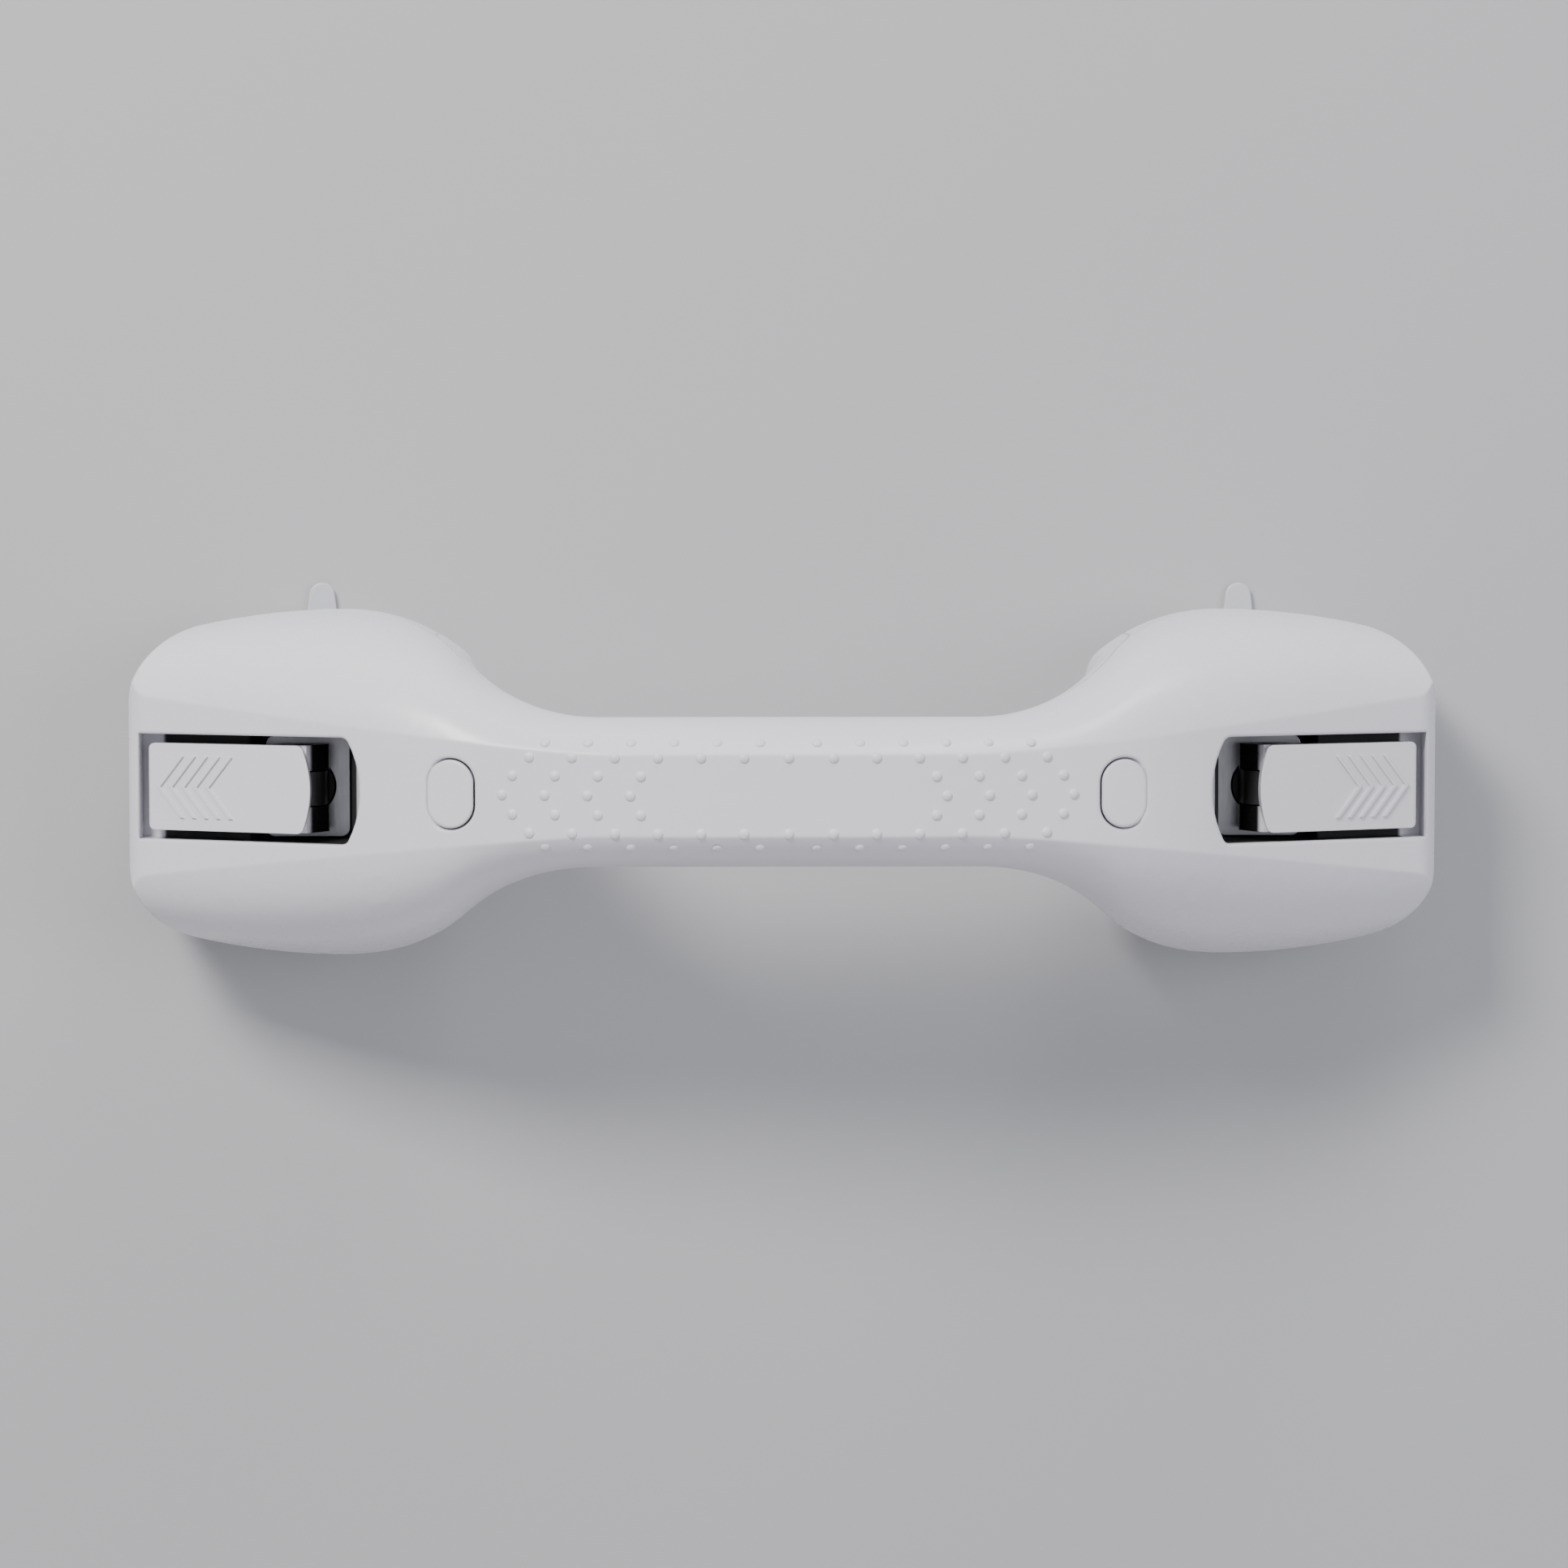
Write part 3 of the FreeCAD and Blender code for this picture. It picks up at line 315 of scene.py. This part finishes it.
# ---- Plungers, springs, pins and wear plates -----------------------------------------------
# The plunger is turned and milled black acetal; its eye takes a ground steel pin that the lever
# swings on. A wound spring pushes the cup back to the wall, and a pressed steel plate takes
# the rub of the lever's cams.

ACETAL_BLACK = (0.016, 0.016, 0.018)
ACETAL_GREY = (0.03, 0.03, 0.032)
TURNING_MARKS = (1, 0.25, 1)

acetal = Finish("black_acetal", {"IOR": 1.48})
acetal.colour(acetal.mix(acetal.noise(3 * MM), ACETAL_BLACK, ACETAL_GREY))
acetal.roughness(0.38 + 0.16 * acetal.noise(1.2 * MM))
acetal.bump(acetal.noise(0.6 * MM, stretch=TURNING_MARKS), 0.03 * MM)

STEEL_LIGHT = (0.60, 0.60, 0.62)
STEEL_DARK = (0.48, 0.48, 0.50)
GRINDING_PATCHES = (1, 1, 8)
GRINDING_LINES = (1, 1, 12)

steel = Finish("ground_steel", {"Metallic": 1.0})
steel.colour(steel.mix(steel.noise(4 * MM), STEEL_LIGHT, STEEL_DARK))
steel.roughness(0.22 + 0.2 * steel.noise(0.5 * MM, stretch=GRINDING_PATCHES))
steel.bump(steel.noise(0.3 * MM, stretch=GRINDING_LINES), 0.008 * MM)


class Tree:
    """A geometry node tree with named inputs, built one node at a time."""

    def __init__(self, name):
        self.group = bpy.data.node_groups.new(name, "GeometryNodeTree")
        self.group.interface.new_socket("Geometry", in_out="OUTPUT", socket_type="NodeSocketGeometry")
        self.given = self.group.nodes.new("NodeGroupInput")
        self.result = self.group.nodes.new("NodeGroupOutput")

    def input(self, name, kind):
        self.group.interface.new_socket(name, in_out="INPUT", socket_type=kind)
        return self.given.outputs[name]

    def node(self, kind, settings=(), inputs=(), output=0):
        made = self.group.nodes.new(kind)
        for label, value in dict(settings).items():
            setattr(made, label, value)
        for key, value in dict(inputs).items():
            if isinstance(value, bpy.types.NodeSocket):
                self.group.links.new(value, made.inputs[key])
            else:
                made.inputs[key].default_value = value
        return made.outputs[output]

    def finish(self, geometry):
        self.group.links.new(geometry, self.result.inputs["Geometry"])

    def joined(self, parts):
        """One geometry from several, in the order given."""
        made = self.group.nodes.new("GeometryNodeJoinGeometry")
        for part in parts:
            self.group.links.new(part, made.inputs[0])
        return made.outputs[0]

    def run(self, name, values, finish):
        """Evaluates the tree once with the given input values and returns a plain mesh."""
        carrier = bpy.data.objects.new(name, bpy.data.meshes.new(name))
        bpy.context.scene.collection.objects.link(carrier)
        modifier = carrier.modifiers.new(name, "NODES")
        modifier.node_group = self.group
        for item in self.group.interface.items_tree:
            if item.item_type == "SOCKET" and item.in_out == "INPUT" and item.name in values:
                modifier[item.identifier] = values[item.name]
        bpy.context.view_layer.update()
        evaluated = carrier.evaluated_get(bpy.context.evaluated_depsgraph_get())
        mesh = bpy.data.meshes.new_from_object(evaluated)
        bpy.data.objects.remove(carrier)
        return put(name, mesh, finish)


SPRING_RADIUS = 8 * MM
SPRING_WIRE = 0.7 * MM
SPRING_TURNS = 7.5
SPRING_STEPS = 40
WIRE_STEPS = 14

coil = Tree("return_spring")
turns = coil.input("Turns", "NodeSocketFloat")
coil_radius = coil.input("Radius", "NodeSocketFloat")
wire = coil.input("Wire Radius", "NodeSocketFloat")
rise = coil.input("Rise", "NodeSocketFloat")
start = coil.input("Start", "NodeSocketVector")
coil_material = coil.input("Material", "NodeSocketMaterial")
path = coil.node("GeometryNodeCurveSpiral", {}, {
    "Resolution": SPRING_STEPS, "Rotations": turns, "Start Radius": coil_radius, "End Radius": coil_radius,
    "Height": rise,
})
ring = coil.node("GeometryNodeCurvePrimitiveCircle", {}, {"Resolution": WIRE_STEPS, "Radius": wire})
round_wire = coil.node("GeometryNodeCurveToMesh", {}, {
    "Curve": path, "Profile Curve": ring, "Fill Caps": True,
})
stood = coil.node("GeometryNodeTransform", {}, {
    "Geometry": round_wire, "Translation": start, "Rotation": (math.radians(90), 0, 0),
})
real = coil.node("GeometryNodeRealizeInstances", {}, {"Geometry": stood})
coil.finish(coil.node("GeometryNodeSetMaterial", {}, {"Geometry": real, "Material": coil_material}))

for side in SIDES:
    paint(f"{side}_plunger", acetal)
    paint(f"{side}_pivot_pin", steel)
    paint(f"{side}_wear_plate", steel)
    low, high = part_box(f"{side}_return_spring")
    middle_x = (low.x + high.x) / 2
    spring = coil.run(f"{side}_spring", {
        "Turns": SPRING_TURNS, "Radius": SPRING_RADIUS, "Wire Radius": SPRING_WIRE,
        "Rise": high.y - low.y - 2 * SPRING_WIRE,
        "Start": (middle_x, high.y - SPRING_WIRE, 0), "Material": steel.material,
    }, steel)
    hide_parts(f"{side}_return_spring")
    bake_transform(spring)

# ---- Base plates and screws -----------------------------------------------------------------
# A base plate closes each head and its ring bears on the rim of the cup. It is moulded with
# a fine spark texture and held by four zinc-plated screws; two more screws sit behind the
# plugs and two close the grip from behind.

MATT_WHITE = (0.74, 0.73, 0.77)
MATT_GREY = (0.68, 0.67, 0.71)

textured = Finish("textured_plastic", {"IOR": 1.5})
textured.colour(textured.mix(textured.noise(12 * MM), MATT_WHITE, MATT_GREY))
textured.roughness(0.46 + 0.14 * textured.noise(2 * MM))
textured.bump(textured.noise(0.35 * MM, detail=4), 0.04 * MM)

ZINC_LIGHT = (0.66, 0.68, 0.72)
ZINC_DARK = (0.50, 0.52, 0.55)

zinc = Finish("zinc_plate", {"Metallic": 1.0})
zinc.colour(zinc.mix(zinc.noise(1.5 * MM), ZINC_LIGHT, ZINC_DARK))
zinc.roughness(0.26 + 0.22 * zinc.noise(0.8 * MM))
zinc.bump(zinc.noise(0.4 * MM), 0.01 * MM)

for side in SIDES:
    paint(f"{side}_base_plate", textured)
for node in ("plug_screws", "grip_screws", "base_plate_screws"):
    paint(node, zinc)

# ---- Shells ---------------------------------------------------------------------------------
# The bar itself is two white ABS mouldings: the front shell with the domed heads, and the
# rear shell that closes the grip. The tool was polished, so the skin is smooth with a faint
# waviness, slightly rougher where hands hold it.

lever_low, lever_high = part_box("right_lever")
pin_low, pin_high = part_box("right_pivot_pin")
pivot_x = (pin_low.x + pin_high.x) / 2
# From the lever's inner end outwards the front of a head slopes back at this angle. The lever
# lies a little below it.
LEAN = math.radians(27)
LEVER_RECESS = 0.4 * MM
LEVER_START = pivot_x - 2.1 * MM
FRONT_Y = lever_low.y - LEVER_RECESS
# Inside each slot, from its inner end to just short of the lever's tip, shade is painted: whatever lies
# deep below the sloping front is painted near-black for the dark depth of the slot. Beyond it the shallow
# outer part of the slot, where a fingertip lifts the lever, stays white.
SHADE_START = pivot_x - 14 * MM
SHADE_END = lever_high.x - 3 * MM
# Half the width of the slot and a millimetre more, to take in its side walls.
SHADE_HALF = 13 * MM
SLOT_PAINTED_SHADE = (0.012, 0.012, 0.013)
SHELL_SHADE_FROM = 3.2 * MM
GRIP_END = 60 * MM
GLOSS_WHITE = (0.80, 0.787, 0.835)
GLOSS_GREY = (0.76, 0.748, 0.80)
SHELL_EDGE = 1.2 * MM


def slot_shade(finish, from_depth):
    """Mask of painted shade: 1 inside the slot of a head, deeper than from_depth below its sloping front.
    """
    along = finish.axis("X").size()
    depth = finish.axis("Y") - (FRONT_Y + math.tan(LEAN) * (along - LEVER_START))
    between_sides = 1 - finish.axis("Z").size().above(SHADE_HALF, 0.3 * MM)
    between_ends = along.above(SHADE_START, 0.3 * MM) * (1 - along.above(SHADE_END, 0.5 * MM))
    return depth.above(from_depth, 1.0 * MM) * between_sides * between_ends


gloss = Finish("white_abs", {"IOR": 1.5})
gloss_white = gloss.mix(gloss.noise(50 * MM), GLOSS_WHITE, GLOSS_GREY)
slot_painted_shade = slot_shade(gloss, SHELL_SHADE_FROM)
handled = 1 - gloss.axis("X").size().above(GRIP_END, 20 * MM)
# Painted shade: the deep inside of the slot is painted near-black in place of its shadow.
gloss.colour(gloss.mix(slot_painted_shade, gloss_white, SLOT_PAINTED_SHADE))
gloss.roughness(0.24 + 0.08 * gloss.noise(6 * MM) + 0.06 * handled + 0.4 * slot_painted_shade)
gloss.bump(gloss.noise(1.2 * MM, detail=3) + 4 * gloss.noise(20 * MM), 0.006 * MM, edge_radius=SHELL_EDGE)

for node in ("front_shell", "rear_shell"):
    paint(node, gloss)
for side in SIDES:
    paint(f"{side}_plug", gloss)

# ---- Grip dots ------------------------------------------------------------------------------
# Small raised dots, moulded with the front shell, give the hand hold. A centre row and its
# neighbours stop short of the middle; the outer rows run the whole grip.

DOT_PITCH = 9.4 * MM
DOT_RADIUS = 1.15 * MM
DOT_RISE = 0.55 * MM
DOT_FOOT = 0.15 * MM
DOT_SEGMENTS = 24
DOT_RINGS = 16
# The rows are laid out in front of the bar and dropped on to its skin.
DROP_FROM = -200 * MM
DROP_LENGTH = 300 * MM
# Each row: height on the grip, outermost dot from the middle, dots from there inwards.
DOT_ROWS = [
    (0.0, 62.8 * MM, 4),
    (4.25 * MM, 60.5 * MM, 4),
    (8.3 * MM, 56.75 * MM, 7),
    (11.5 * MM, 53.2 * MM, 6),
]

dots = Tree("grip_dots")
shell = dots.input("Shell", "NodeSocketObject")
dot_radius = dots.input("Dot Radius", "NodeSocketFloat")
dot_rise = dots.input("Dot Rise", "NodeSocketFloat")
dot_material = dots.input("Material", "NodeSocketMaterial")
rows = []
for row_height, outermost, count in DOT_ROWS:
    for sign in SIDES.values():
        for up in ((1, -1) if row_height else (1,)):
            rows.append(dots.node("GeometryNodeMeshLine", {"mode": "OFFSET"}, {
                "Count": count,
                "Start Location": (sign * outermost, DROP_FROM, up * row_height),
                "Offset": (-sign * DOT_PITCH, 0, 0),
            }))
all_rows = dots.joined(rows)
spaced = dots.node("GeometryNodeMergeByDistance", {}, {"Geometry": all_rows, "Distance": DOT_PITCH / 2})
points = dots.node("GeometryNodeMeshToPoints", {}, {"Mesh": spaced})
skin = dots.node("GeometryNodeObjectInfo", {}, {"Object": shell}, output="Geometry")
landing = dots.node("GeometryNodeRaycast", {}, {
    "Target Geometry": skin, "Ray Direction": (0, 1, 0), "Ray Length": DROP_LENGTH,
}, output="Hit Position")
facing = dots.node("FunctionNodeAlignRotationToVector", {"axis": "Z"}, {
    "Vector": landing.node.outputs["Hit Normal"],
})
# The skin's direction is stored before the points move, or it would be found again from there.
stored = dots.node("GeometryNodeStoreNamedAttribute", {"data_type": "QUATERNION"}, {
    "Geometry": points, "Name": "facing", "Value": facing,
})
dropped = dots.node("GeometryNodeSetPosition", {}, {"Geometry": stored, "Position": landing})
turn = dots.node("GeometryNodeInputNamedAttribute", {"data_type": "QUATERNION"}, {"Name": "facing"})
ball = dots.node("GeometryNodeMeshUVSphere", {}, {
    "Segments": DOT_SEGMENTS, "Rings": DOT_RINGS, "Radius": dot_radius,
})
ball_place = dots.node("GeometryNodeInputPosition")
ball_height = dots.node("ShaderNodeSeparateXYZ", {}, {0: ball_place}, output="Z")
sunk = dots.node("FunctionNodeCompare", {"operation": "LESS_THAN"}, {0: ball_height, 1: -DOT_FOOT})
dome = dots.node("GeometryNodeDeleteGeometry", {}, {"Geometry": ball, "Selection": sunk})
flattening = dots.node("ShaderNodeMath", {"operation": "DIVIDE"}, {0: dot_rise, 1: dot_radius})
dot_scale = dots.node("ShaderNodeCombineXYZ", {}, {"X": 1.0, "Y": 1.0, "Z": flattening})
copies = dots.node("GeometryNodeInstanceOnPoints", {}, {
    "Points": dropped, "Instance": dome, "Rotation": turn, "Scale": dot_scale,
})
real = dots.node("GeometryNodeRealizeInstances", {}, {"Geometry": copies})
dots.finish(dots.node("GeometryNodeSetMaterial", {}, {"Geometry": real, "Material": dot_material}))
grip_dots = dots.run("grip_dots", {
    "Shell": nodes["front_shell"], "Dot Radius": DOT_RADIUS, "Dot Rise": DOT_RISE,
    "Material": gloss.material,
}, gloss)
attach(grip_dots, "housing")

# ---- Levers ---------------------------------------------------------------------------------
# Each lever is a separate white moulding with five shallow chevrons that point the way it
# opens. Thumbs polish it, so its front is a little glossier than the shell.

LEVER_WHITE = (0.80, 0.79, 0.83)
LEVER_GREY = (0.765, 0.755, 0.80)
LEVER_SHADE_FROM = 5.6 * MM
LEVER_EDGE = 0.25 * MM

lever_gloss = Finish("white_lever", {"IOR": 1.5})
lever_white = lever_gloss.mix(lever_gloss.noise(30 * MM), LEVER_WHITE, LEVER_GREY)
# Painted shade: where the lever's hub sits deep in the slot at rest it is painted near-black, like the
# slot.
lever_painted_shade = slot_shade(lever_gloss, LEVER_SHADE_FROM)
lever_gloss.colour(lever_gloss.mix(lever_painted_shade, lever_white, SLOT_PAINTED_SHADE))
lever_gloss.roughness(0.22 + 0.1 * lever_gloss.noise(4 * MM))
lever_gloss.bump(lever_gloss.noise(1 * MM, detail=3), 0.006 * MM, edge_radius=LEVER_EDGE)
for side in SIDES:
    paint(f"{side}_lever", lever_gloss)

# ---- Wall, floor, light and camera -----------------------------------------------------------
# A plain pale wall behind the bar and a plain floor below it. The wall shows only from the
# front and casts no shadow, so that the back of the bar can be seen too.

PALE = (0.49, 0.49, 0.50)
PALE_SHADE = (0.46, 0.46, 0.47)
WALL_Y = 0.3 * MM
ROOM_SIDE = 2.0
ROOM_TOP = 2.0
ROOM_FRONT = -3.0
FLOOR_Z = -0.6


def pale_paint(name):
    """A matt, pale, very faintly clouded paint."""
    finish = Finish(name, {"Roughness": 0.8})
    finish.colour(finish.mix(finish.noise(200 * MM), PALE, PALE_SHADE))
    return finish


def sheet_of(name, corners, finish):
    """A flat sheet of the stage, which isn't part of the bar."""
    mesh = bpy.data.meshes.new(name)
    mesh.from_pydata(corners, [], [tuple(range(len(corners)))])
    sheet = bpy.data.objects.new(name, mesh)
    bpy.context.scene.collection.objects.link(sheet)
    mesh.materials.append(finish.material)


floor_paint = pale_paint("pale_floor")
wall_paint = pale_paint("pale_wall")
seen_from_behind = wall_paint.node("ShaderNodeNewGeometry", output="Backfacing")
casting_shadow = wall_paint.node("ShaderNodeLightPath", output="Is Shadow Ray")
wall_paint.hide_where(wall_paint.node("ShaderNodeMath", {"operation": "MAXIMUM"}, {
    0: seen_from_behind, 1: casting_shadow,
}))

sheet_of("wall", [
    (-ROOM_SIDE, WALL_Y, FLOOR_Z), (ROOM_SIDE, WALL_Y, FLOOR_Z),
    (ROOM_SIDE, WALL_Y, ROOM_TOP), (-ROOM_SIDE, WALL_Y, ROOM_TOP),
], wall_paint)
sheet_of("floor", [
    (-ROOM_SIDE, ROOM_FRONT, FLOOR_Z), (ROOM_SIDE, ROOM_FRONT, FLOOR_Z),
    (ROOM_SIDE, ROOM_SIDE, FLOOR_Z), (-ROOM_SIDE, ROOM_SIDE, FLOOR_Z),
], floor_paint)


def soft_light(name, place, size, power, colour=(1, 1, 1)):
    """A rectangular lamp, size metres wide and high, that faces the middle of the bar."""
    lamp = bpy.data.lights.new(name, "AREA")
    lamp.shape = "RECTANGLE"
    lamp.size, lamp.size_y = size
    lamp.energy = power
    lamp.color = colour
    holder = bpy.data.objects.new(name, lamp)
    holder.location = place
    holder.rotation_euler = (-Vector(place)).to_track_quat("-Z", "Y").to_euler()
    bpy.context.scene.collection.objects.link(holder)


WARM = (1.0, 0.98, 0.96)
COOL = (0.92, 0.95, 1.0)
soft_light("key", place=(-0.7, -1.1, 1.0), size=(0.5, 0.4), power=28, colour=WARM)
soft_light("fill", place=(1.1, -1.3, 0.2), size=(0.8, 0.8), power=7, colour=COOL)
soft_light("top", place=(0.3, -0.3, 1.2), size=(0.6, 0.3), power=5)
soft_light("behind", place=(0.4, 1.2, 0.5), size=(1.0, 0.8), power=8)

SKY = (0.86, 0.88, 0.95, 1)
SKY_STRENGTH = 0.52
world = bpy.data.worlds.new("studio")
world.use_nodes = True
sky = world.node_tree.nodes["Background"]
sky.inputs["Color"].default_value = SKY
sky.inputs["Strength"].default_value = SKY_STRENGTH
bpy.context.scene.world = world

CAMERA_AZIMUTH = math.radians(-1.2)
CAMERA_ELEVATION = math.radians(3)
CAMERA_DISTANCE = 1.0
CAMERA_LENS = 100
AIM = Vector((0, -35 * MM, 0))
lens = bpy.data.cameras.new("camera")
lens.lens = CAMERA_LENS
camera = bpy.data.objects.new("camera", lens)
camera.location = AIM + CAMERA_DISTANCE * Vector((
    math.sin(CAMERA_AZIMUTH) * math.cos(CAMERA_ELEVATION),
    -math.cos(CAMERA_AZIMUTH) * math.cos(CAMERA_ELEVATION),
    math.sin(CAMERA_ELEVATION),
))
camera.rotation_euler = (AIM - camera.location).to_track_quat("-Z", "Y").to_euler()
bpy.context.scene.collection.objects.link(camera)
bpy.context.scene.camera = camera
